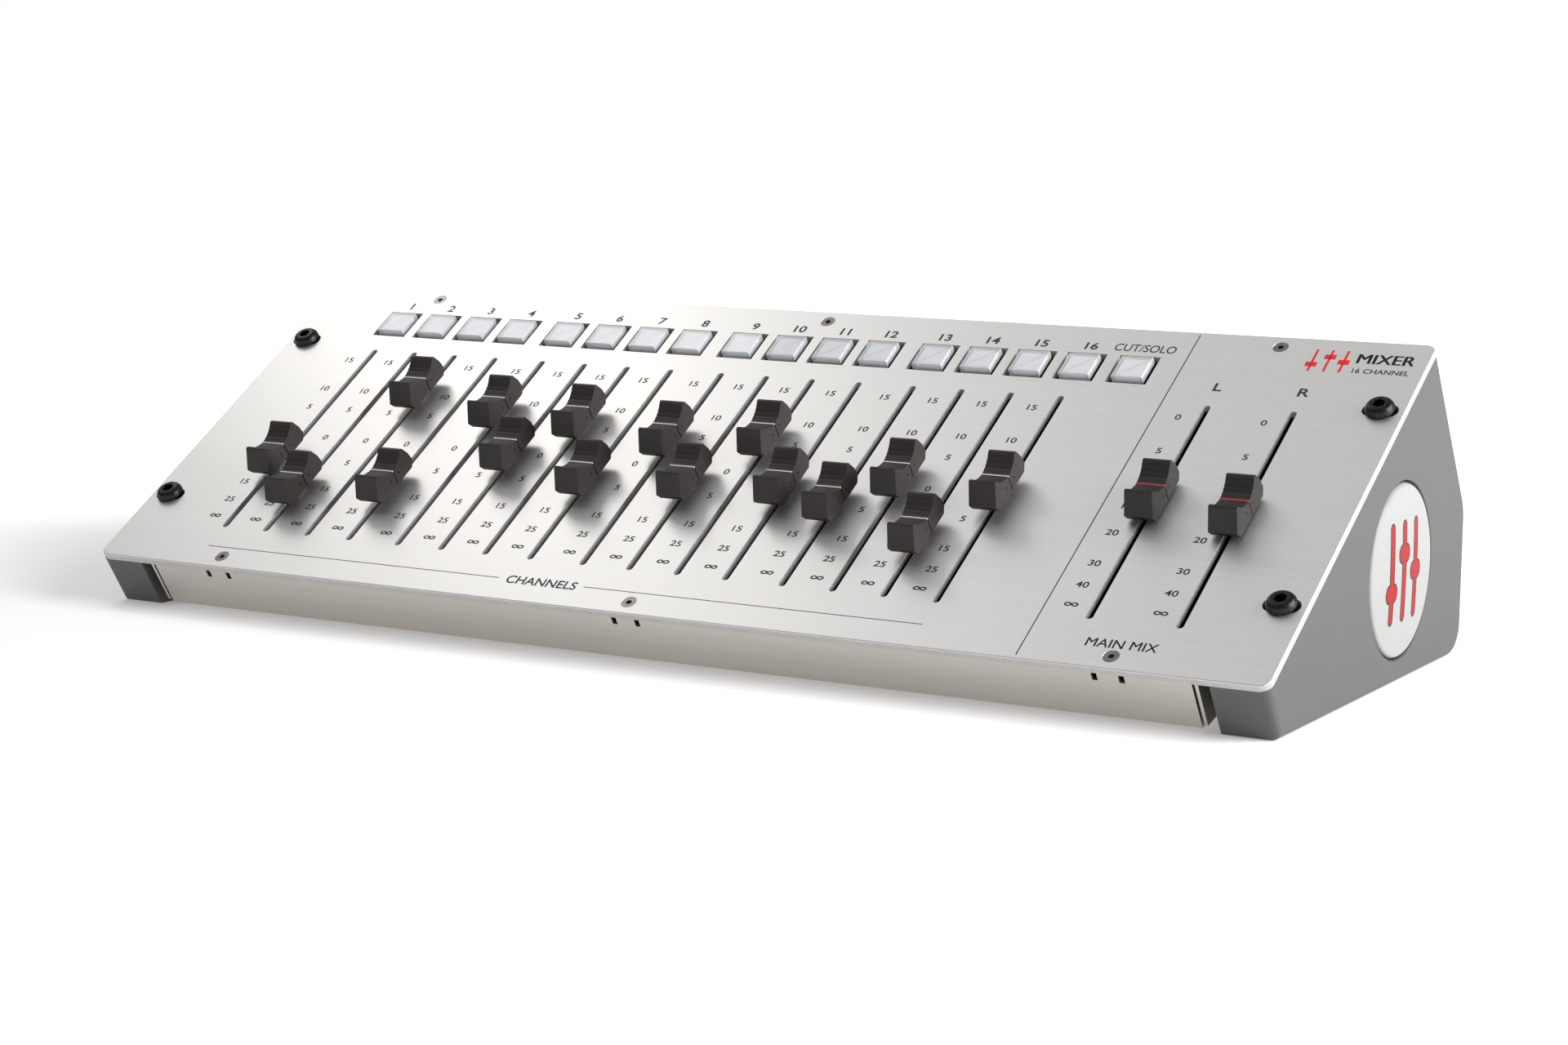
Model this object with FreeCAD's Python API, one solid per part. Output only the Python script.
import FreeCAD, Part
import math
import os

# A desktop fader mixing console: a 19-inch rack panel carried on two end cheeks at a slope,
# with a wedge-shaped sheet-metal chassis under it.
#
# All sizes are in millimetres. Most pieces are drawn in panel axes: x from the panel's left
# edge, y up the slope from its near edge, z out of its top face. to_row() turns them into the
# row's axes: +X to the right, +Y to the rear, +Z up, origin at the bottom centre of the box.

Vec = FreeCAD.Vector

# ---------------------------------------------------------------- driving dimensions
PANEL_WIDTH = 482.6          # 19-inch rack panel
PANEL_LENGTH = 177.0         # four rack units, up the slope
PANEL_THICK = 2.5
PANEL_CORNER = 4.0
PANEL_EDGE_ROUND = 0.5
PANEL_SLOPE = 32.4           # degrees between the panel and the table

CHEEK_THICK = 20.0
CHEEK_INSET = 0.3            # each cheek's outer face inside the panel's end
CHEEK_FRONT = 23.1           # panel's top face to the cheek's front lower corner
CHEEK_DEPTH = 188.1          # front of the panel to the cheek's upright rear face
CHEEK_EDGE_ROUND = 3.0
CHEEK_REAR_LOW_ROUND = 11.0
CHEEK_REAR_KNEE_ROUND = 15.0
CHEEK_FRONT_LOW_ROUND = 1.5

BADGE_HOLE_RADIUS = 31.0
BADGE_HOLE_DEPTH = 2.4
BADGE_Y = 120.2              # behind the panel's near edge
BADGE_Z = 39.3               # above the table
BADGE_GAP = 0.8              # between the badge and its recess, all round
BADGE_BASE = 1.2             # thickness of the printed disc
BADGE_CROWN = 2.4            # thickness of the lens at its middle
BADGE_DOME = 0.9             # how much thinner the lens is at its rim
BADGE_EDGE_ROUND = 1.2

RACK_HOLE_INSET = 8.75       # rack hole centres from the panel's ends
RACK_HOLE_PITCH = 101.6      # between the two rack holes of one end
RACK_HOLE_WIDTH = 7.0
RACK_HOLE_LENGTH = 13.0
RACK_SCREW_RADIUS = 3.0
RACK_HEAD_RADIUS = 5.25
RACK_HEAD_HEIGHT = 3.3
RACK_SCREW_REACH = 14.0      # of the shank into the cheek
RACK_SOCKET_FLATS = 4.0
RACK_SOCKET_DEPTH = 2.0
THREAD_CLEARANCE = 0.05      # between any screw's shank and its hole, on the radius

CHANNEL_COUNT = 16
CHANNELS_PER_GROUP = 4
FIRST_CHANNEL_X = 47.1
CHANNEL_PITCH = 20.0
GROUP_GAP = 2.9              # extra space after each group of channels
MAIN_LEFT_X = 412.2
MAIN_RIGHT_X = 444.1

SLOT_WIDTH = 2.8
SLOT_LOW_Y = 22.1
SLOT_HIGH_Y = 135.6
TRAVEL = 100.0               # fader stroke
CHANNEL_CAP_LIFT = 2.6       # caps' underside above the panel
MAIN_CAP_LIFT = 1.0

# Where each cap's index line stands, up the slope from the panel's near edge.
CHANNEL_SETTINGS = [63.1, 47.1, 109.2, 53.0, 101.1, 77.1, 99.2, 67.6,
                    93.0, 70.2, 97.6, 72.1, 66.0, 81.8, 53.8, 79.3]
MAIN_LEFT_SETTING = 83.0
MAIN_RIGHT_SETTING = 78.7

CAP_WIDTH = 10.6
CAP_NEAR_FOOT = 11.4          # the cap's side outline: distances towards the user
CAP_NEAR_WAIST = 13.2         # and away, and the heights that go with them
CAP_NEAR_WAIST_HEIGHT = 2.7
CAP_NEAR_PEAK = 9.2
CAP_NEAR_PEAK_HEIGHT = 10.6
CAP_FAR_FOOT = 10.3
CAP_FAR_WAIST = 12.1
CAP_FAR_WAIST_HEIGHT = 2.4
CAP_FAR_SHOULDER = 11.3
CAP_FAR_SHOULDER_HEIGHT = 6.0
CAP_FAR_PEAK = 9.1
CAP_FAR_PEAK_HEIGHT = 10.1
CAP_DISH = 8.1                # half length of the finger dish
CAP_DISH_DROP = 0.1           # the dish's ends below the peaks
CAP_DISH_HEIGHT = 6.2        # the dish's lowest point above the cap's underside
LINE_WIDTH = 0.6
LINE_DEPTH = 0.4

LEVER_THICK = 1.2
LEVER_LENGTH = 6.0
LEVER_GRIP = 4.0             # of the lever inside the cap

WINDOW_SIZE = 16.0
WINDOW_Y = 153.1
CUT_BUTTON_X = 376.7
BUTTON_SIZE = 12.2
BUTTON_PROUD = 1.5           # cap's top above the panel
BUTTON_SKIRT = 2.8           # height of the clear cap
BUTTON_CHAMFER = 0.5
BUTTON_WALL = 1.2
BUTTON_ROOF = 0.9
PLUNGER_PLATE = 1.5
PLUNGER_SIZE = 8.0
PLUNGER_LENGTH = 9.7
BUTTON_TRAVEL = 1.5

COUNTERSUNK_X = [57.5, 242.2, 426.8]
COUNTERSUNK_INSET = 6.0      # from the panel's near and far edges
SCREW_RADIUS = 1.5           # M3
COUNTERSUNK_HEAD_RADIUS = 2.85
COUNTERSUNK_DEPTH = 1.5
COUNTERSUNK_LENGTH = 8.0
SMALL_SOCKET_FLATS = 2.0
SMALL_SOCKET_DEPTH = 1.0
PAN_HEAD_RADIUS = 2.75
PAN_HEAD_HEIGHT = 1.8
PAN_SCREW_LENGTH = 5.0

SHEET = 1.2                  # chassis and fader panel sheet
CHASSIS_END_MARGIN = 24.5      # from the panel's ends to the chassis's side plates
CHASSIS_FRONT_INSET = 0.6    # behind the panel's near edge
CHASSIS_REAR_INSET = 1.0
CHASSIS_FRONT_DROP = 22.0    # panel's top face to the chassis's front lower edge
CHASSIS_SLOPE = 16.14        # degrees between the chassis's bottom and the panel
CORNER_GAP = 0.9             # between the front wall's ends and the side plates
FLANGE_HEIGHT = 8.0
TAB_HALF_WIDTH = 3.8
TAB_LENGTH = 11.0
NOTCH_WIDTH = 2.0
NOTCH_DEPTH = 3.7

STUD_HEIGHT = 3.5            # faceplate's underside to the fader panel
STUD_RADIUS = 2.5
STUD_Y = [17.5, 140.1]
FADER_PANEL_FRONT = 10.0     # from the panel's near edge
FADER_PANEL_REAR = 13.0      # from the panel's far edge
FADER_PANEL_MARGIN = 4.0     # inside the chassis's side plates
LEVER_SLOT_WIDTH = 4.0
SWITCH_WINDOW = 13.4

FRAME_WIDTH = 12.0
FRAME_LENGTH = 129.0
FRAME_DEPTH = 11.0
FRAME_WALL = 1.0
FADER_SCREW_INSET = 3.2      # from the fader frame's ends
ROD_RADIUS = 1.0
ROD_SPREAD = 2.9             # each rod from the fader's middle
ROD_DROP = 5.5               # below the frame's top
RUNNING_CLEARANCE = 0.05     # carriage on its rods, and plunger in its switch, on the radius
CARRIAGE_WIDTH = 8.6
CARRIAGE_LENGTH = 12.0
CARRIAGE_HEIGHT = 4.6
TRACK_THICK = 1.6
WIPER_GAP = 0.3

SWITCH_SIZE = 14.6
SWITCH_DEPTH = 10.8
SWITCH_WALL_BELOW = 2.0
BUTTON_BOARD_MARGIN = 4.0
BUTTON_BOARD_LENGTH = 18.4

BOARD_THICK = 1.6
MAIN_BOARD_WIDTH = 300.0
MAIN_BOARD_START = 78.0      # along the chassis's bottom, from its front edge
MAIN_BOARD_END = 168.0
STANDOFF_HEIGHT = 6.0
STANDOFF_RADIUS = 2.75
HEADER_LENGTH = 46.0
HEADER_WIDTH = 8.0
HEADER_HEIGHT = 7.0
RIBBON_WIDTH = 40.0
RIBBON_THICK = 0.9
RIBBON_BOW = 6.0

CONNECTOR_X = [150.0, 332.0]
CONNECTOR_DROP = 40.0        # below the panel's top face
FLANGE_LONG = 53.0
FLANGE_SHORT = 12.5
CONNECTOR_FLANGE_THICK = 1.0
SHELL_LONG = 38.8
SHELL_SHORT = 8.4
SHELL_TAPER = 2.8
SHELL_PROUD = 6.0
CONNECTOR_BODY_DEPTH = 10.0
JACK_SPACING = 47.04
JACK_FLATS = 4.8
JACK_HEIGHT = 5.5
JACK_BORE_RADIUS = 1.2
JACK_BORE_DEPTH = 5.0
JACK_STUD_RADIUS = 1.4

# ---------------------------------------------------------------- worked-out sizes
SLOPE = math.radians(PANEL_SLOPE)
ROW_LIFT = CHEEK_FRONT * math.cos(SLOPE)
FRONT_ROUNDED_OFF = PANEL_EDGE_ROUND * (math.cos(SLOPE) + math.sin(SLOPE) - 1)
ROW_SHIFT = -(CHEEK_DEPTH + FRONT_ROUNDED_OFF) / 2
CHASSIS_LEFT = CHASSIS_END_MARGIN
CHASSIS_RIGHT = PANEL_WIDTH - CHASSIS_LEFT
CHASSIS_FRONT = CHASSIS_FRONT_INSET
CHASSIS_REAR = PANEL_LENGTH - CHASSIS_REAR_INSET
UNDER = -PANEL_THICK
FADER_PANEL_TOP = UNDER - STUD_HEIGHT
FADER_PANEL_UNDER = FADER_PANEL_TOP - SHEET
SLOT_MIDDLE = (SLOT_LOW_Y + SLOT_HIGH_Y) / 2
FRAME_START = SLOT_MIDDLE - FRAME_LENGTH / 2
FRAME_END = SLOT_MIDDLE + FRAME_LENGTH / 2
FRAME_UNDER = FADER_PANEL_UNDER - FRAME_DEPTH
ROD_Z = FADER_PANEL_UNDER - ROD_DROP
TRACK_TOP = FRAME_UNDER + TRACK_THICK
FADER_SCREW_Y = [FRAME_START + FADER_SCREW_INSET, FRAME_END - FADER_SCREW_INSET]
SWITCH_UNDER = FADER_PANEL_UNDER - SWITCH_DEPTH
BUTTON_BOARD_UNDER = SWITCH_UNDER - BOARD_THICK


def channel_x(index):
    """The middle of a channel's slot and button."""
    group = index // CHANNELS_PER_GROUP
    return FIRST_CHANNEL_X + CHANNEL_PITCH * index + GROUP_GAP * group


CHANNEL_X = [channel_x(i) for i in range(CHANNEL_COUNT)]
FADER_X = CHANNEL_X + [MAIN_LEFT_X, MAIN_RIGHT_X]
FADER_SETTINGS = CHANNEL_SETTINGS + [MAIN_LEFT_SETTING, MAIN_RIGHT_SETTING]
CAP_LIFTS = [CHANNEL_CAP_LIFT] * CHANNEL_COUNT + [MAIN_CAP_LIFT] * 2
BUTTON_X = CHANNEL_X + [CUT_BUTTON_X]

# Press studs stand in the wide gaps between fader frames.
GROUP_MIDDLES = [(CHANNEL_X[i - 1] + CHANNEL_X[i]) / 2
                 for i in range(CHANNELS_PER_GROUP, CHANNEL_COUNT, CHANNELS_PER_GROUP)]
STUD_X = ([CHANNEL_X[0] - CHANNEL_PITCH / 2] + GROUP_MIDDLES
          + [(CHANNEL_X[-1] + MAIN_LEFT_X) / 2, (MAIN_LEFT_X + MAIN_RIGHT_X) / 2])

PANEL_TO_ROW = FreeCAD.Placement(
    Vec(-PANEL_WIDTH / 2, ROW_SHIFT, ROW_LIFT),
    FreeCAD.Rotation(Vec(1, 0, 0), PANEL_SLOPE))


# ---------------------------------------------------------------- drawing helpers
def block(x0, x1, y0, y1, z0, z1):
    return Part.makeBox(x1 - x0, y1 - y0, z1 - z0, Vec(x0, y0, z0))


def post(x, y, z0, z1, radius):
    """A cylinder along z."""
    return Part.makeCylinder(radius, z1 - z0, Vec(x, y, z0))


def sheet_yz(points, x0, x1):
    """A flat outline of (y, z) points, made solid from x0 to x1."""
    loop = [Vec(x0, y, z) for y, z in points]
    face = Part.Face(Part.makePolygon(loop + loop[:1]))
    return face.extrude(Vec(x1 - x0, 0, 0))


def slot_along_y(x, y0, y1, width, z0, z1):
    """A slot with round ends, from y0 to y1."""
    r = width / 2
    body = block(x - r, x + r, y0 + r, y1 - r, z0, z1)
    return body.fuse([post(x, y0 + r, z0, z1, r), post(x, y1 - r, z0, z1, r)]).removeSplitter()


def slot_along_x(x, y, length, width, z0, z1):
    """A slot with round ends, centred on x."""
    r = width / 2
    half = length / 2 - r
    body = block(x - half, x + half, y - r, y + r, z0, z1)
    return body.fuse([post(x - half, y, z0, z1, r), post(x + half, y, z0, z1, r)]).removeSplitter()


def hexagon(centre, flats, height, direction=Vec(0, 0, 1)):
    """A hexagonal prism of the given width across flats, standing on centre."""
    corner = flats / math.sqrt(3)
    ring = [Vec(corner * math.cos(math.radians(60 * k)), corner * math.sin(math.radians(60 * k)), 0)
            for k in range(7)]
    prism = Part.Face(Part.makePolygon(ring)).extrude(Vec(0, 0, height))
    prism.Placement = FreeCAD.Placement(centre, FreeCAD.Rotation(Vec(0, 0, 1), direction))
    return prism


def rounded_plate(x0, x1, y0, y1, z0, z1, radius):
    plate = block(x0, x1, y0, y1, z0, z1)
    upright = [e for e in plate.Edges if abs(e.Vertexes[0].Z - e.Vertexes[1].Z) > 1e-6]
    return plate.makeFillet(radius, upright)


def group(solids):
    return Part.makeCompound(solids)


def to_row(shape):
    """Panel axes to row axes."""
    moved = shape.copy()
    moved.Placement = PANEL_TO_ROW.multiply(moved.Placement)
    return moved


def row_point(y, z):
    """(Y, Z) in row axes of a point in panel axes."""
    p = PANEL_TO_ROW.multVec(Vec(0, y, z))
    return p.y, p.z


def save(name, shape):
    shape.exportStep("parts/%s.step" % name)


def chassis_under(y):
    """Height of the chassis's outer bottom, in panel axes, at y."""
    return -CHASSIS_FRONT_DROP - (y - CHASSIS_FRONT) * math.tan(math.radians(CHASSIS_SLOPE))


# ---------------------------------------------------------------- faceplate and its screws
def countersunk_places():
    rows = (COUNTERSUNK_INSET, PANEL_LENGTH - COUNTERSUNK_INSET)
    return [(x, y) for x in COUNTERSUNK_X for y in rows]


def rack_places():
    middle = PANEL_LENGTH / 2
    rows = (middle - RACK_HOLE_PITCH / 2, middle + RACK_HOLE_PITCH / 2)
    return [(x, y) for x in (RACK_HOLE_INSET, PANEL_WIDTH - RACK_HOLE_INSET) for y in rows]


def countersink(x, y, clearance):
    cone = Part.makeCone(SCREW_RADIUS + clearance, COUNTERSUNK_HEAD_RADIUS + clearance,
                         COUNTERSUNK_DEPTH, Vec(x, y, -COUNTERSUNK_DEPTH))
    return cone


def make_faceplate():
    plate = rounded_plate(0, PANEL_WIDTH, 0, PANEL_LENGTH, UNDER, 0, PANEL_CORNER)
    rim = [e for e in plate.Edges if all(abs(v.Z) < 1e-6 for v in e.Vertexes)]
    plate = plate.makeFillet(PANEL_EDGE_ROUND, rim)
    cuts = [slot_along_y(x, SLOT_LOW_Y, SLOT_HIGH_Y, SLOT_WIDTH, UNDER - 1, 1) for x in FADER_X]
    half = WINDOW_SIZE / 2
    cuts += [block(x - half, x + half, WINDOW_Y - half, WINDOW_Y + half, UNDER - 1, 1)
             for x in BUTTON_X]
    cuts += [slot_along_x(x, y, RACK_HOLE_LENGTH, RACK_HOLE_WIDTH, UNDER - 1, 1)
             for x, y in rack_places()]
    for x, y in countersunk_places():
        cuts.append(post(x, y, UNDER - 1, 1, SCREW_RADIUS + THREAD_CLEARANCE))
        cuts.append(countersink(x, y, THREAD_CLEARANCE))
    return plate.cut(cuts)


def countersunk_screw(x, y):
    shank = post(x, y, -COUNTERSUNK_LENGTH, -COUNTERSUNK_DEPTH, SCREW_RADIUS)
    screw = shank.fuse(countersink(x, y, 0)).removeSplitter()
    socket = hexagon(Vec(x, y, -SMALL_SOCKET_DEPTH), SMALL_SOCKET_FLATS, SMALL_SOCKET_DEPTH + 1)
    return screw.cut(socket)


def rack_screw(x, y):
    """A button-head screw: a low dome with a hexagon socket, on a plain shank."""
    rim, crown = 0.3, RACK_SOCKET_FLATS * 0.66
    arc = Part.Arc(Vec(RACK_HEAD_RADIUS, 0, rim),
                   Vec(RACK_HEAD_RADIUS * 0.86, 0, RACK_HEAD_HEIGHT * 0.68),
                   Vec(crown, 0, RACK_HEAD_HEIGHT)).toShape()
    foot = -PANEL_THICK - RACK_SCREW_REACH
    low = [Vec(crown, 0, RACK_HEAD_HEIGHT), Vec(0, 0, RACK_HEAD_HEIGHT), Vec(0, 0, foot),
           Vec(RACK_SCREW_RADIUS, 0, foot), Vec(RACK_SCREW_RADIUS, 0, 0),
           Vec(RACK_HEAD_RADIUS, 0, 0), Vec(RACK_HEAD_RADIUS, 0, rim)]
    outline = Part.Wire([arc] + Part.makePolygon(low).Edges)
    screw = Part.Face(outline).revolve(Vec(0, 0, 0), Vec(0, 0, 1), 360)
    socket = hexagon(Vec(0, 0, RACK_HEAD_HEIGHT - RACK_SOCKET_DEPTH),
                     RACK_SOCKET_FLATS, RACK_SOCKET_DEPTH + 1)
    screw = screw.cut(socket)
    screw.translate(Vec(x, y, 0))
    return screw


# ---------------------------------------------------------------- end cheeks and badges
def cheek_outline():
    """Corners of the cheek's side, in the row's (Y, Z)."""
    front_top = row_point(0, UNDER)
    front_low = row_point(0, -CHEEK_FRONT)
    rear_top = row_point(PANEL_LENGTH, UNDER)
    rear_y = CHEEK_DEPTH + ROW_SHIFT
    knee_z = rear_top[1] - (rear_y - rear_top[0]) / math.tan(SLOPE)
    return [front_top, front_low, (rear_y, 0), (rear_y, knee_z), rear_top]


def make_cheek(side):
    """side is -1 for the left cheek and +1 for the right one."""
    outer = side * (PANEL_WIDTH / 2 - CHEEK_INSET)
    inner = outer - side * CHEEK_THICK
    corners = cheek_outline()
    cheek = sheet_yz(corners, min(outer, inner), max(outer, inner))

    def edge_at(corner):
        y, z = corner
        return [e for e in cheek.Edges
                if all(abs(v.Y - y) < 1e-4 and abs(v.Z - z) < 1e-4 for v in e.Vertexes)]

    for corner, radius in ((corners[1], CHEEK_FRONT_LOW_ROUND),
                           (corners[2], CHEEK_REAR_LOW_ROUND),
                           (corners[3], CHEEK_REAR_KNEE_ROUND)):
        cheek = cheek.makeFillet(radius, edge_at(corner))
    top_normal = Vec(0, -math.sin(SLOPE), math.cos(SLOPE))
    top_height = Vec(0, corners[0][0], corners[0][1]).dot(top_normal)

    def on_top(edge):
        return all(abs(v.Point.dot(top_normal) - top_height) < 1e-4 for v in edge.Vertexes)

    rim = [e for e in cheek.Edges
           if all(abs(v.X - outer) < 1e-4 for v in e.Vertexes) and not on_top(e)]
    cheek = cheek.makeFillet(CHEEK_EDGE_ROUND, rim)

    recess = Part.makeCylinder(BADGE_HOLE_RADIUS, BADGE_HOLE_DEPTH + 1,
                               Vec(outer + side, BADGE_Y + ROW_SHIFT, BADGE_Z), Vec(-side, 0, 0))
    cuts = [recess]
    for x, y in rack_places():
        if (x > PANEL_WIDTH / 2) == (side > 0):
            hole = post(x, y, UNDER - RACK_SCREW_REACH - 2, 1, RACK_SCREW_RADIUS + THREAD_CLEARANCE)
            cuts.append(to_row(hole))
    return cheek.cut(cuts)


def make_badge(side):
    """A printed disc at the bottom of the recess, and a domed lens on it."""
    floor = side * (PANEL_WIDTH / 2 - CHEEK_INSET - BADGE_HOLE_DEPTH)
    radius = BADGE_HOLE_RADIUS - BADGE_GAP
    disc = Part.makeCylinder(radius, BADGE_BASE)
    crown = BADGE_BASE + BADGE_CROWN
    dome_radius = (radius ** 2 + BADGE_DOME ** 2) / (2 * BADGE_DOME)
    dome = Part.makeSphere(dome_radius, Vec(0, 0, crown - dome_radius))
    lens = Part.makeCylinder(radius, BADGE_CROWN, Vec(0, 0, BADGE_BASE)).common(dome)
    rim = [e for e in lens.Edges if e.BoundBox.ZMin > BADGE_BASE + 0.1 and e.isClosed()]
    lens = lens.makeFillet(BADGE_EDGE_ROUND, rim)
    place = FreeCAD.Placement(Vec(floor, BADGE_Y + ROW_SHIFT, BADGE_Z),
                              FreeCAD.Rotation(Vec(0, 0, 1), Vec(side, 0, 0)))
    for solid in (disc, lens):
        solid.Placement = place
    return group([disc, lens])


# ---------------------------------------------------------------- chassis
def notch_cuts(y0, y1):
    """Notches beside each bent tab, through a wall that spans y0 to y1."""
    cuts = []
    for x in COUNTERSUNK_X:
        for side in (-1, 1):
            near = x + side * TAB_HALF_WIDTH
            far = near + side * NOTCH_WIDTH
            cuts.append(block(min(near, far), max(near, far), y0, y1, UNDER - NOTCH_DEPTH, UNDER + 1))
    return cuts


def tab(x, y0, y1, screw_y):
    """A tab that lies against the faceplate's underside, with its tapped hole."""
    plate = block(x - TAB_HALF_WIDTH, x + TAB_HALF_WIDTH, y0, y1, UNDER - SHEET, UNDER)
    return plate.cut(post(x, screw_y, UNDER - SHEET - 1, UNDER + 1, SCREW_RADIUS + THREAD_CLEARANCE))


def side_screw_places():
    """(y, z) of the screws that hold each side plate to the tray's flanges."""
    return [(y, chassis_under(y) + SHEET + FLANGE_HEIGHT / 2) for y in (30.0, 90.0, 150.0)]


def rear_screw_places():
    """(x, z) of the screws that hold the rear panel to the tray's rear flange."""
    z = chassis_under(CHASSIS_REAR) + SHEET + FLANGE_HEIGHT / 2 + 1
    return [(x, z) for x in (60.0, 180.0, PANEL_WIDTH - 180.0, PANEL_WIDTH - 60.0)]


def standoff_places():
    """Where the main board's standoffs are, in panel x and along the chassis's bottom."""
    left = PANEL_WIDTH / 2 - MAIN_BOARD_WIDTH / 2
    right = PANEL_WIDTH / 2 + MAIN_BOARD_WIDTH / 2
    inset = 6.0
    return [(x, u) for x in (left + inset, PANEL_WIDTH / 2, right - inset)
            for u in (MAIN_BOARD_START + inset, MAIN_BOARD_END - inset)]


def on_bottom(shape):
    """Places a shape drawn on the chassis's inner bottom: y along it from the front, z off it."""
    placed = shape.copy()
    place = FreeCAD.Placement(Vec(0, CHASSIS_FRONT, chassis_under(CHASSIS_FRONT) + SHEET),
                              FreeCAD.Rotation(Vec(1, 0, 0), -CHASSIS_SLOPE))
    placed.Placement = place.multiply(placed.Placement)
    return placed


def make_tray():
    """Front wall, bottom and the low side and rear flanges, folded from one sheet."""
    left = CHASSIS_LEFT + SHEET
    right = CHASSIS_RIGHT - SHEET
    front = block(left + CORNER_GAP, right - CORNER_GAP, CHASSIS_FRONT, CHASSIS_FRONT + SHEET,
                  chassis_under(CHASSIS_FRONT), UNDER)
    front = front.cut(notch_cuts(CHASSIS_FRONT - 1, CHASSIS_FRONT + SHEET + 1))
    rear = CHASSIS_REAR - SHEET
    bottom = sheet_yz([(CHASSIS_FRONT, chassis_under(CHASSIS_FRONT)),
                       (CHASSIS_REAR, chassis_under(CHASSIS_REAR)),
                       (CHASSIS_REAR, chassis_under(CHASSIS_REAR) + SHEET),
                       (CHASSIS_FRONT, chassis_under(CHASSIS_FRONT) + SHEET)],
                      left + CORNER_GAP, right - CORNER_GAP)
    start, end = CHASSIS_FRONT + 12.0, rear - 8.0
    pieces = [bottom]
    for x0, x1 in ((left, left + SHEET), (right - SHEET, right)):
        flange = sheet_yz([(start, chassis_under(start)), (end, chassis_under(end)),
                           (end, chassis_under(end) + SHEET + FLANGE_HEIGHT),
                           (start, chassis_under(start) + SHEET + FLANGE_HEIGHT)], x0, x1)
        pieces.append(flange)
    pieces.append(block(left + 8, right - 8, rear - SHEET, rear,
                        chassis_under(rear) + SHEET / 2, chassis_under(rear) + SHEET + FLANGE_HEIGHT))
    for x in COUNTERSUNK_X:
        pieces.append(tab(x, CHASSIS_FRONT, CHASSIS_FRONT + TAB_LENGTH, COUNTERSUNK_INSET))
    tray = front.fuse(pieces).removeSplitter()
    hole = SCREW_RADIUS + THREAD_CLEARANCE
    cuts = [Part.makeCylinder(hole, CHASSIS_RIGHT - CHASSIS_LEFT + 2, Vec(CHASSIS_LEFT - 1, y, z), Vec(1, 0, 0))
            for y, z in side_screw_places()]
    cuts += [Part.makeCylinder(hole, 4 * SHEET, Vec(x, rear - 3 * SHEET, z), Vec(0, 1, 0))
             for x, z in rear_screw_places()]
    cuts += [on_bottom(post(x, u, -SHEET - 1, 1, hole)) for x, u in standoff_places()]
    return tray.cut(cuts)


def make_side_plate(side):
    x0 = CHASSIS_LEFT if side < 0 else CHASSIS_RIGHT - SHEET
    plate = sheet_yz([(CHASSIS_FRONT, UNDER), (CHASSIS_FRONT, chassis_under(CHASSIS_FRONT) + SHEET),
                      (CHASSIS_REAR, chassis_under(CHASSIS_REAR) + SHEET), (CHASSIS_REAR, UNDER)],
                     x0, x0 + SHEET)
    hole = SCREW_RADIUS + THREAD_CLEARANCE
    return plate.cut([Part.makeCylinder(hole, 4 * SHEET, Vec(x0 - SHEET, y, z), Vec(1, 0, 0))
                      for y, z in side_screw_places()])


def make_rear_panel():
    low = chassis_under(CHASSIS_REAR - SHEET) + SHEET
    wall = block(CHASSIS_LEFT + SHEET + CORNER_GAP, CHASSIS_RIGHT - SHEET - CORNER_GAP,
                 CHASSIS_REAR - SHEET, CHASSIS_REAR, low, UNDER)
    wall = wall.cut(notch_cuts(CHASSIS_REAR - 2 * SHEET, CHASSIS_REAR + 1))
    tabs = [tab(x, CHASSIS_REAR - TAB_LENGTH, CHASSIS_REAR, PANEL_LENGTH - COUNTERSUNK_INSET)
            for x in COUNTERSUNK_X]
    wall = wall.fuse(tabs).removeSplitter()
    cuts = []
    for x in CONNECTOR_X:
        cuts.append(connector_prism(x, CHASSIS_REAR - 2 * SHEET, 4 * SHEET, RUNNING_CLEARANCE))
        for side in (-1, 1):
            cuts.append(Part.makeCylinder(JACK_STUD_RADIUS + THREAD_CLEARANCE, 4 * SHEET,
                                          Vec(x + side * JACK_SPACING / 2, CHASSIS_REAR - 2 * SHEET,
                                              -CONNECTOR_DROP), Vec(0, 1, 0)))
    cuts += [Part.makeCylinder(SCREW_RADIUS + THREAD_CLEARANCE, 4 * SHEET,
                               Vec(x, CHASSIS_REAR - 2 * SHEET, z), Vec(0, 1, 0))
             for x, z in rear_screw_places()]
    return wall.cut(cuts)


def pan_screw(base, direction, length):
    """A pan-head screw: its head stands on base, its shank goes the other way."""
    head = Part.makeCylinder(PAN_HEAD_RADIUS, PAN_HEAD_HEIGHT, Vec(0, 0, 0))
    head = head.makeFillet(PAN_HEAD_HEIGHT * 0.45,
                           [e for e in head.Edges if e.BoundBox.ZMin > PAN_HEAD_HEIGHT - 1e-6])
    shank = Part.makeCylinder(SCREW_RADIUS, length, Vec(0, 0, -length))
    socket = hexagon(Vec(0, 0, PAN_HEAD_HEIGHT - SMALL_SOCKET_DEPTH),
                     SMALL_SOCKET_FLATS, SMALL_SOCKET_DEPTH + 1)
    screw = head.fuse(shank).removeSplitter().cut(socket)
    screw.Placement = FreeCAD.Placement(base, FreeCAD.Rotation(Vec(0, 0, 1), direction))
    return screw


def make_chassis_screws():
    screws = []
    for y, z in side_screw_places():
        screws.append(pan_screw(Vec(CHASSIS_LEFT, y, z), Vec(-1, 0, 0), 2 * SHEET))
        screws.append(pan_screw(Vec(CHASSIS_RIGHT, y, z), Vec(1, 0, 0), 2 * SHEET))
    for x, z in rear_screw_places():
        screws.append(pan_screw(Vec(x, CHASSIS_REAR, z), Vec(0, 1, 0), 2 * SHEET))
    return group(screws)


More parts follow.
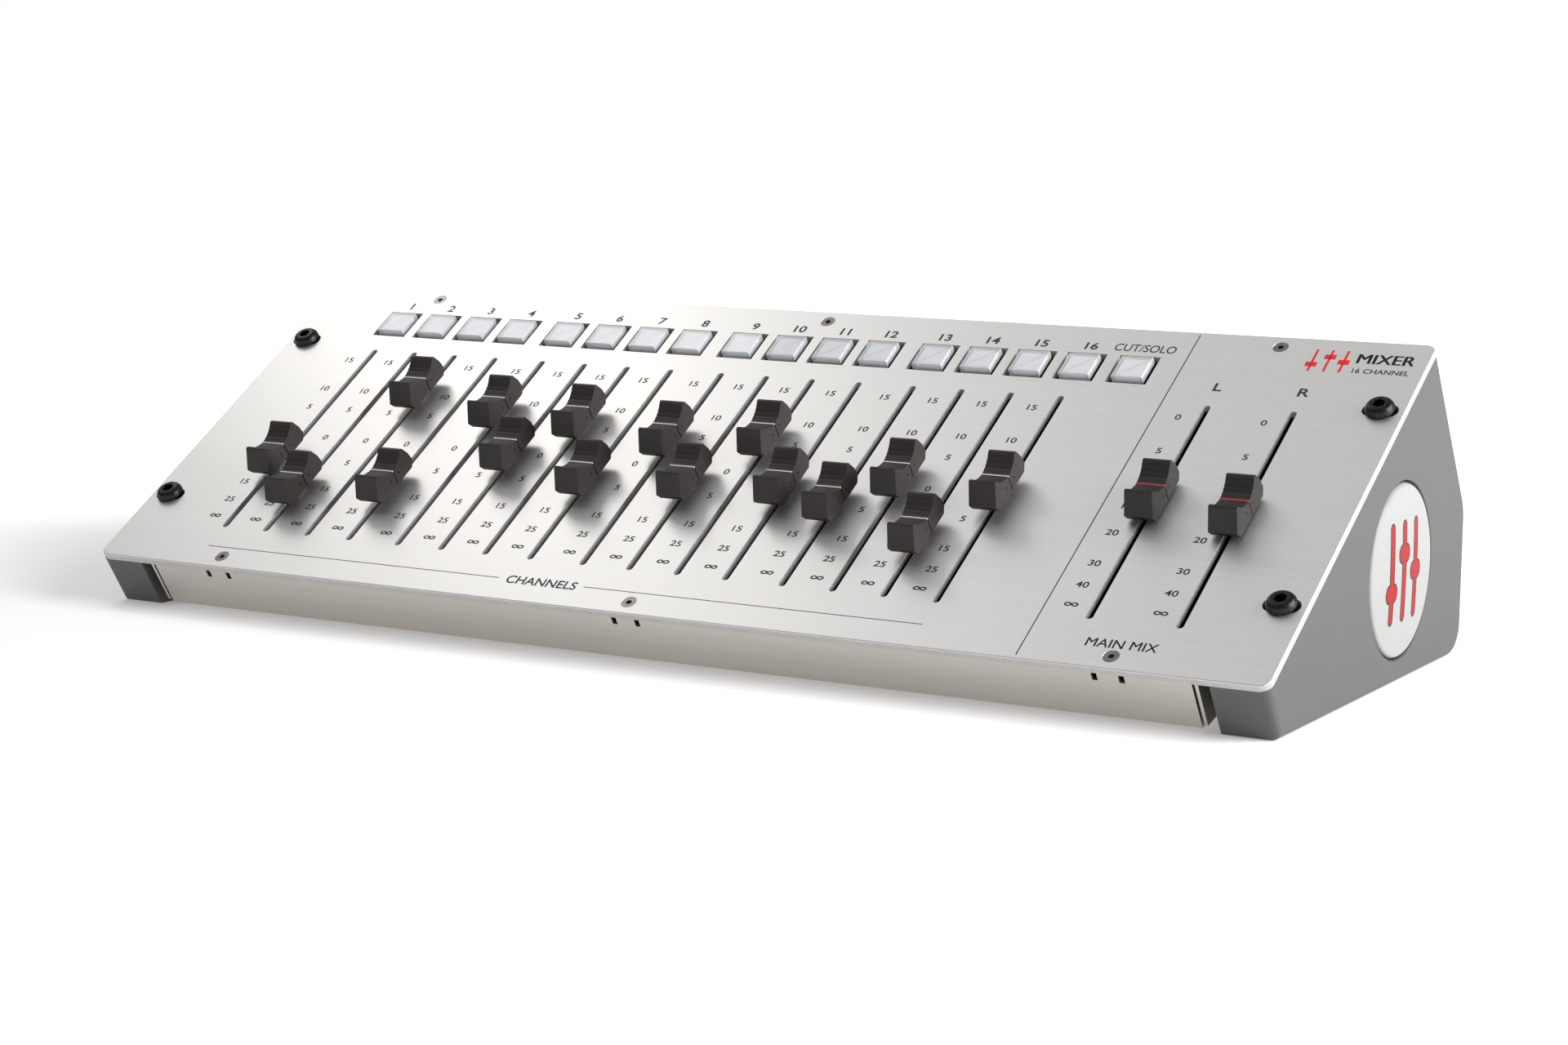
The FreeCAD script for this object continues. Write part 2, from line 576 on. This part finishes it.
# ---------------------------------------------------------------- rear connectors
def connector_prism(x, y, depth, grow=0.0):
    """The D-shaped outline of a connector's shell, made solid along y."""
    half_long = SHELL_LONG / 2 + grow
    half_short = SHELL_SHORT / 2 + grow
    z = -CONNECTOR_DROP
    loop = [Vec(x - half_long, y, z + half_short), Vec(x + half_long, y, z + half_short),
            Vec(x + half_long - SHELL_TAPER, y, z - half_short),
            Vec(x - half_long + SHELL_TAPER, y, z - half_short)]
    prism = Part.Face(Part.makePolygon(loop + loop[:1])).extrude(Vec(0, depth, 0))
    long_edges = [e for e in prism.Edges if abs(e.Vertexes[0].Y - e.Vertexes[1].Y) > 1e-6]
    return prism.makeFillet(1.5, long_edges)


def make_connectors():
    shells = []
    face = CHASSIS_REAR + CONNECTOR_FLANGE_THICK
    for x in CONNECTOR_X:
        flange = block(x - FLANGE_LONG / 2, x + FLANGE_LONG / 2, CHASSIS_REAR, face,
                       -CONNECTOR_DROP - FLANGE_SHORT / 2, -CONNECTOR_DROP + FLANGE_SHORT / 2)
        corners = [e for e in flange.Edges if abs(e.Vertexes[0].Y - e.Vertexes[1].Y) > 1e-6]
        flange = flange.makeFillet(2.0, corners)
        holes = [Part.makeCylinder(JACK_STUD_RADIUS + THREAD_CLEARANCE, 4 * SHEET,
                                   Vec(x + side * JACK_SPACING / 2, CHASSIS_REAR - SHEET,
                                       -CONNECTOR_DROP), Vec(0, 1, 0)) for side in (-1, 1)]
        shell = connector_prism(x, CHASSIS_REAR - CONNECTOR_BODY_DEPTH,
                                CONNECTOR_BODY_DEPTH + CONNECTOR_FLANGE_THICK + SHELL_PROUD)
        shells += [flange.cut(holes + [shell]), shell]
    return group(shells)


def make_jack_screws():
    screws = []
    base = CHASSIS_REAR + CONNECTOR_FLANGE_THICK
    for x in CONNECTOR_X:
        for side in (-1, 1):
            place = Vec(x + side * JACK_SPACING / 2, base, -CONNECTOR_DROP)
            post_part = hexagon(place, JACK_FLATS, JACK_HEIGHT, Vec(0, 1, 0))
            stud = Part.makeCylinder(JACK_STUD_RADIUS, 4 * SHEET, place, Vec(0, -1, 0))
            bore = Part.makeCylinder(JACK_BORE_RADIUS, JACK_BORE_DEPTH,
                                     place + Vec(0, JACK_HEIGHT - JACK_BORE_DEPTH, 0), Vec(0, 1, 0))
            screws.append(post_part.fuse(stud).cut(bore))
    return group(screws)


# ---------------------------------------------------------------- fader panel and what it holds
def make_panel_studs():
    studs = []
    for x in STUD_X:
        for y in STUD_Y:
            stud = post(x, y, FADER_PANEL_TOP, UNDER, STUD_RADIUS)
            studs.append(stud.cut(post(x, y, FADER_PANEL_TOP - 1, UNDER - 0.5,
                                       SCREW_RADIUS + THREAD_CLEARANCE)))
    return group(studs)


def make_fader_panel():
    plate = block(CHASSIS_LEFT + FADER_PANEL_MARGIN, CHASSIS_RIGHT - FADER_PANEL_MARGIN,
                  FADER_PANEL_FRONT, PANEL_LENGTH - FADER_PANEL_REAR,
                  FADER_PANEL_UNDER, FADER_PANEL_TOP)
    low, high = FADER_PANEL_UNDER - 1, FADER_PANEL_TOP + 1
    hole = SCREW_RADIUS + THREAD_CLEARANCE
    cuts = [slot_along_y(x, SLOT_LOW_Y, SLOT_HIGH_Y, LEVER_SLOT_WIDTH, low, high) for x in FADER_X]
    cuts += [post(x, y, low, high, hole) for x in FADER_X for y in FADER_SCREW_Y]
    cuts += [post(x, y, low, high, hole) for x in STUD_X for y in STUD_Y]
    half = SWITCH_WINDOW / 2
    cuts += [block(x - half, x + half, WINDOW_Y - half, WINDOW_Y + half, low, high)
             for x in BUTTON_X]
    return plate.cut(cuts)


def make_fader_frame(x):
    """A steel channel, open below, with closed ends and a slot along its top."""
    half = FRAME_WIDTH / 2
    shell = block(x - half, x + half, FRAME_START, FRAME_END, FRAME_UNDER, FADER_PANEL_UNDER)
    inner = half - FRAME_WALL
    hollow = block(x - inner, x + inner, FRAME_START + FRAME_WALL, FRAME_END - FRAME_WALL,
                   FRAME_UNDER - 1, FADER_PANEL_UNDER - FRAME_WALL)
    cuts = [hollow, slot_along_y(x, SLOT_LOW_Y, SLOT_HIGH_Y, LEVER_SLOT_WIDTH,
                                 FADER_PANEL_UNDER - 2 * FRAME_WALL, FADER_PANEL_UNDER + 1)]
    for side in (-1, 1):
        cuts.append(Part.makeCylinder(ROD_RADIUS, FRAME_LENGTH + 2,
                                      Vec(x + side * ROD_SPREAD, FRAME_START - 1, ROD_Z),
                                      Vec(0, 1, 0)))
    for y in FADER_SCREW_Y:
        cuts.append(post(x, y, FADER_PANEL_UNDER - 2 * FRAME_WALL, FADER_PANEL_UNDER + 1,
                         SCREW_RADIUS + THREAD_CLEARANCE))
    return shell.cut(cuts)


def make_rods(x):
    return [Part.makeCylinder(ROD_RADIUS, FRAME_LENGTH, Vec(x + side * ROD_SPREAD, FRAME_START, ROD_Z),
                              Vec(0, 1, 0)) for side in (-1, 1)]


def make_track(x):
    inner = FRAME_WIDTH / 2 - FRAME_WALL
    return block(x - inner, x + inner, FRAME_START + FRAME_WALL, FRAME_END - FRAME_WALL,
                 FRAME_UNDER, TRACK_TOP)


def make_pan_screws():
    """The M3 screws of the faders (from above), the fader panel (from below) and the main board."""
    up, down = Vec(0, 0, 1), Vec(0, 0, -1)
    screws = [pan_screw(Vec(x, y, FADER_PANEL_TOP), up, SHEET + FRAME_WALL)
              for x in FADER_X for y in FADER_SCREW_Y]
    screws += [pan_screw(Vec(x, y, FADER_PANEL_UNDER), down, SHEET + STUD_HEIGHT - 0.7)
               for x in STUD_X for y in STUD_Y]
    board_top = STANDOFF_HEIGHT + BOARD_THICK
    screws += [on_bottom(pan_screw(Vec(x, u, board_top), up, PAN_SCREW_LENGTH))
               for x, u in standoff_places()]
    return group(screws)


# ---------------------------------------------------------------- faders
def cap_outline():
    """Side outline of a cap: (y, z) from its middle and its underside, then the finger dish."""
    return [(-CAP_DISH, CAP_NEAR_PEAK_HEIGHT - CAP_DISH_DROP),
            (-CAP_NEAR_PEAK, CAP_NEAR_PEAK_HEIGHT),
            (-CAP_NEAR_WAIST, CAP_NEAR_WAIST_HEIGHT), (-CAP_NEAR_FOOT, 0), (CAP_FAR_FOOT, 0),
            (CAP_FAR_WAIST, CAP_FAR_WAIST_HEIGHT), (CAP_FAR_SHOULDER, CAP_FAR_SHOULDER_HEIGHT),
            (CAP_FAR_PEAK, CAP_FAR_PEAK_HEIGHT), (CAP_DISH, CAP_FAR_PEAK_HEIGHT - CAP_DISH_DROP)]


def make_fader(x, y, lift):
    """The parts that slide together: cap, index line, lever, carriage and wiper."""
    half = CAP_WIDTH / 2
    points = [Vec(x - half, y + dy, lift + dz) for dy, dz in cap_outline()]
    dish = Part.Arc(points[-1], Vec(x - half, y, lift + CAP_DISH_HEIGHT), points[0]).toShape()
    side = Part.Face(Part.Wire(Part.makePolygon(points).Edges + [dish]))
    cap = side.extrude(Vec(CAP_WIDTH, 0, 0))
    dish_z = lift + CAP_DISH_HEIGHT
    groove = block(x - half, x + half, y - LINE_WIDTH / 2, y + LINE_WIDTH / 2,
                   dish_z - LINE_DEPTH, dish_z + 1)
    line = groove.common(cap)
    cap = cap.cut(groove)
    t, s = LEVER_THICK / 2, LEVER_LENGTH / 2
    lever_top = lift + LEVER_GRIP
    cap = cap.cut(block(x - t, x + t, y - s, y + s, lift - 1, lever_top))

    carriage_top = ROD_Z + CARRIAGE_HEIGHT / 2
    lever = block(x - t, x + t, y - s, y + s, carriage_top, lever_top)
    w, c = CARRIAGE_WIDTH / 2, CARRIAGE_LENGTH / 2
    carriage = block(x - w, x + w, y - c, y + c, ROD_Z - CARRIAGE_HEIGHT / 2, carriage_top)
    bores = [Part.makeCylinder(ROD_RADIUS + RUNNING_CLEARANCE, CARRIAGE_LENGTH + 2,
                               Vec(x + s_ * ROD_SPREAD, y - c - 1, ROD_Z), Vec(0, 1, 0))
             for s_ in (-1, 1)]
    carriage = carriage.cut(bores)
    wiper = block(x - 1.0, x + 1.0, y - 2.0, y + 2.0, TRACK_TOP + WIPER_GAP,
                  ROD_Z - CARRIAGE_HEIGHT / 2)
    return group([cap, line, lever, carriage, wiper])


# ---------------------------------------------------------------- buttons
def make_button(x):
    """The parts that travel together: clear cap, white diffuser and black plunger."""
    half = BUTTON_SIZE / 2
    base = BUTTON_PROUD - BUTTON_SKIRT
    cap = block(x - half, x + half, WINDOW_Y - half, WINDOW_Y + half, base, BUTTON_PROUD)
    rim = [e for e in cap.Edges if e.BoundBox.ZMin > BUTTON_PROUD - 1e-6]
    cap = cap.makeChamfer(BUTTON_CHAMFER, rim)
    core = half - BUTTON_WALL
    diffuser = block(x - core, x + core, WINDOW_Y - core, WINDOW_Y + core, base,
                     BUTTON_PROUD - BUTTON_ROOF)
    cap = cap.cut(diffuser)
    plate_under = base - PLUNGER_PLATE
    plunger = block(x - half, x + half, WINDOW_Y - half, WINDOW_Y + half, plate_under, base)
    stem = PLUNGER_SIZE / 2
    plunger = plunger.fuse(block(x - stem, x + stem, WINDOW_Y - stem, WINDOW_Y + stem,
                                 plate_under - PLUNGER_LENGTH, plate_under)).removeSplitter()
    return group([cap, diffuser, plunger])


def make_switch(x):
    """The fixed housing that the plunger slides in, open at the top."""
    half = SWITCH_SIZE / 2
    body = block(x - half, x + half, WINDOW_Y - half, WINDOW_Y + half,
                 SWITCH_UNDER, FADER_PANEL_UNDER)
    bore = PLUNGER_SIZE / 2 + RUNNING_CLEARANCE
    return body.cut(block(x - bore, x + bore, WINDOW_Y - bore, WINDOW_Y + bore,
                          SWITCH_UNDER + SWITCH_WALL_BELOW, FADER_PANEL_UNDER + 1))


# ---------------------------------------------------------------- boards and ribbon
HEADER_X = PANEL_WIDTH / 2 - 30.0
HEADER_Y = WINDOW_Y


def make_button_board():
    edge = SWITCH_SIZE / 2 + BUTTON_BOARD_MARGIN
    board = block(BUTTON_X[0] - edge, BUTTON_X[-1] + edge,
                  WINDOW_Y - BUTTON_BOARD_LENGTH / 2, WINDOW_Y + BUTTON_BOARD_LENGTH / 2,
                  BUTTON_BOARD_UNDER, SWITCH_UNDER)
    header = block(HEADER_X - HEADER_LENGTH / 2, HEADER_X + HEADER_LENGTH / 2,
                   HEADER_Y - HEADER_WIDTH / 2, HEADER_Y + HEADER_WIDTH / 2,
                   BUTTON_BOARD_UNDER - HEADER_HEIGHT, BUTTON_BOARD_UNDER)
    return group([board, header])


def header_seat():
    """Distance along the chassis's bottom to the main board's header, under the other one."""
    slope = math.radians(CHASSIS_SLOPE)
    top = STANDOFF_HEIGHT + BOARD_THICK + HEADER_HEIGHT
    return (HEADER_Y - CHASSIS_FRONT - top * math.sin(slope)) / math.cos(slope)


def make_main_board():
    left = PANEL_WIDTH / 2 - MAIN_BOARD_WIDTH / 2
    board = block(left, left + MAIN_BOARD_WIDTH, MAIN_BOARD_START, MAIN_BOARD_END,
                  STANDOFF_HEIGHT, STANDOFF_HEIGHT + BOARD_THICK)
    board = board.cut([post(x, u, STANDOFF_HEIGHT - 1, STANDOFF_HEIGHT + BOARD_THICK + 1,
                            SCREW_RADIUS + THREAD_CLEARANCE) for x, u in standoff_places()])
    top = STANDOFF_HEIGHT + BOARD_THICK
    seat = header_seat()
    pieces = [board, block(HEADER_X - HEADER_LENGTH / 2, HEADER_X + HEADER_LENGTH / 2,
                           seat - HEADER_WIDTH / 2, seat + HEADER_WIDTH / 2,
                           top, top + HEADER_HEIGHT)]
    chip_length, chip_width, chip_height, chip_pitch = 19.0, 7.0, 4.0, 34.0
    for k in range(8):
        x = left + 22.0 + k * chip_pitch
        pieces.append(block(x, x + chip_length, MAIN_BOARD_START + 24.0,
                            MAIN_BOARD_START + 24.0 + chip_width, top, top + chip_height))
    return group([on_bottom(p) for p in pieces])


def make_standoffs():
    posts = []
    for x, u in standoff_places():
        standoff = post(x, u, 0, STANDOFF_HEIGHT, STANDOFF_RADIUS)
        posts.append(on_bottom(standoff.cut(post(x, u, -1, STANDOFF_HEIGHT + 1,
                                                 SCREW_RADIUS + THREAD_CLEARANCE))))
    return group(posts)


def make_ribbon():
    """A flat cable that bows rearwards between the two headers."""
    top = BUTTON_BOARD_UNDER - HEADER_HEIGHT
    slope = math.radians(CHASSIS_SLOPE)
    rise = STANDOFF_HEIGHT + BOARD_THICK + HEADER_HEIGHT
    seat = header_seat()
    low = (chassis_under(CHASSIS_FRONT) + SHEET - seat * math.sin(slope) + rise * math.cos(slope)
           + HEADER_WIDTH / 2 * math.sin(slope))
    x = HEADER_X - RIBBON_WIDTH / 2
    near, far = HEADER_Y - RIBBON_THICK / 2, HEADER_Y + RIBBON_THICK / 2
    middle = (top + low) / 2
    inner = Part.Arc(Vec(x, near, top), Vec(x, near - RIBBON_BOW, middle), Vec(x, near, low)).toShape()
    outer = Part.Arc(Vec(x, far, low), Vec(x, far - RIBBON_BOW, middle), Vec(x, far, top)).toShape()
    loop = Part.Wire([inner, Part.makeLine(Vec(x, near, low), Vec(x, far, low)), outer,
                      Part.makeLine(Vec(x, far, top), Vec(x, near, top))])
    return Part.Face(loop).extrude(Vec(RIBBON_WIDTH, 0, 0))


# ---------------------------------------------------------------- all the sub-parts
def main():
    os.makedirs("parts", exist_ok=True)
    save("faceplate", to_row(make_faceplate()))
    save("faceplate_screws", to_row(group([countersunk_screw(x, y) for x, y in countersunk_places()])))
    save("rack_screws", to_row(group([rack_screw(x, y) for x, y in rack_places()])))
    for name, side in (("left", -1), ("right", 1)):
        save("%s_cheek" % name, make_cheek(side))
        save("%s_badge" % name, make_badge(side))
        save("chassis_side_%s" % name, to_row(make_side_plate(side)))
    save("chassis_tray", to_row(make_tray()))
    save("rear_panel", to_row(make_rear_panel()))
    save("chassis_screws", to_row(make_chassis_screws()))
    save("rear_connectors", to_row(make_connectors()))
    save("jack_screws", to_row(make_jack_screws()))
    save("panel_studs", to_row(make_panel_studs()))
    save("fader_panel", to_row(make_fader_panel()))
    save("pan_screws", to_row(make_pan_screws()))
    save("fader_frames", to_row(group([make_fader_frame(x) for x in FADER_X])))
    save("fader_rods", to_row(group([rod for x in FADER_X for rod in make_rods(x)])))
    save("fader_tracks", to_row(group([make_track(x) for x in FADER_X])))
    save("button_switches", to_row(group([make_switch(x) for x in BUTTON_X])))
    save("button_board", to_row(make_button_board()))
    save("main_board", to_row(make_main_board()))
    save("board_standoffs", to_row(make_standoffs()))
    save("ribbon_cable", to_row(make_ribbon()))

    fader_names = ["channel_fader_%02d" % (i + 1) for i in range(CHANNEL_COUNT)]
    fader_names += ["main_fader_left", "main_fader_right"]
    for name, x, y, lift in zip(fader_names, FADER_X, FADER_SETTINGS, CAP_LIFTS):
        save(name, to_row(make_fader(x, y, lift)))
    button_names = ["channel_button_%02d" % (i + 1) for i in range(CHANNEL_COUNT)] + ["cut_button"]
    for name, x in zip(button_names, BUTTON_X):
        save(name, to_row(make_button(x)))


main()
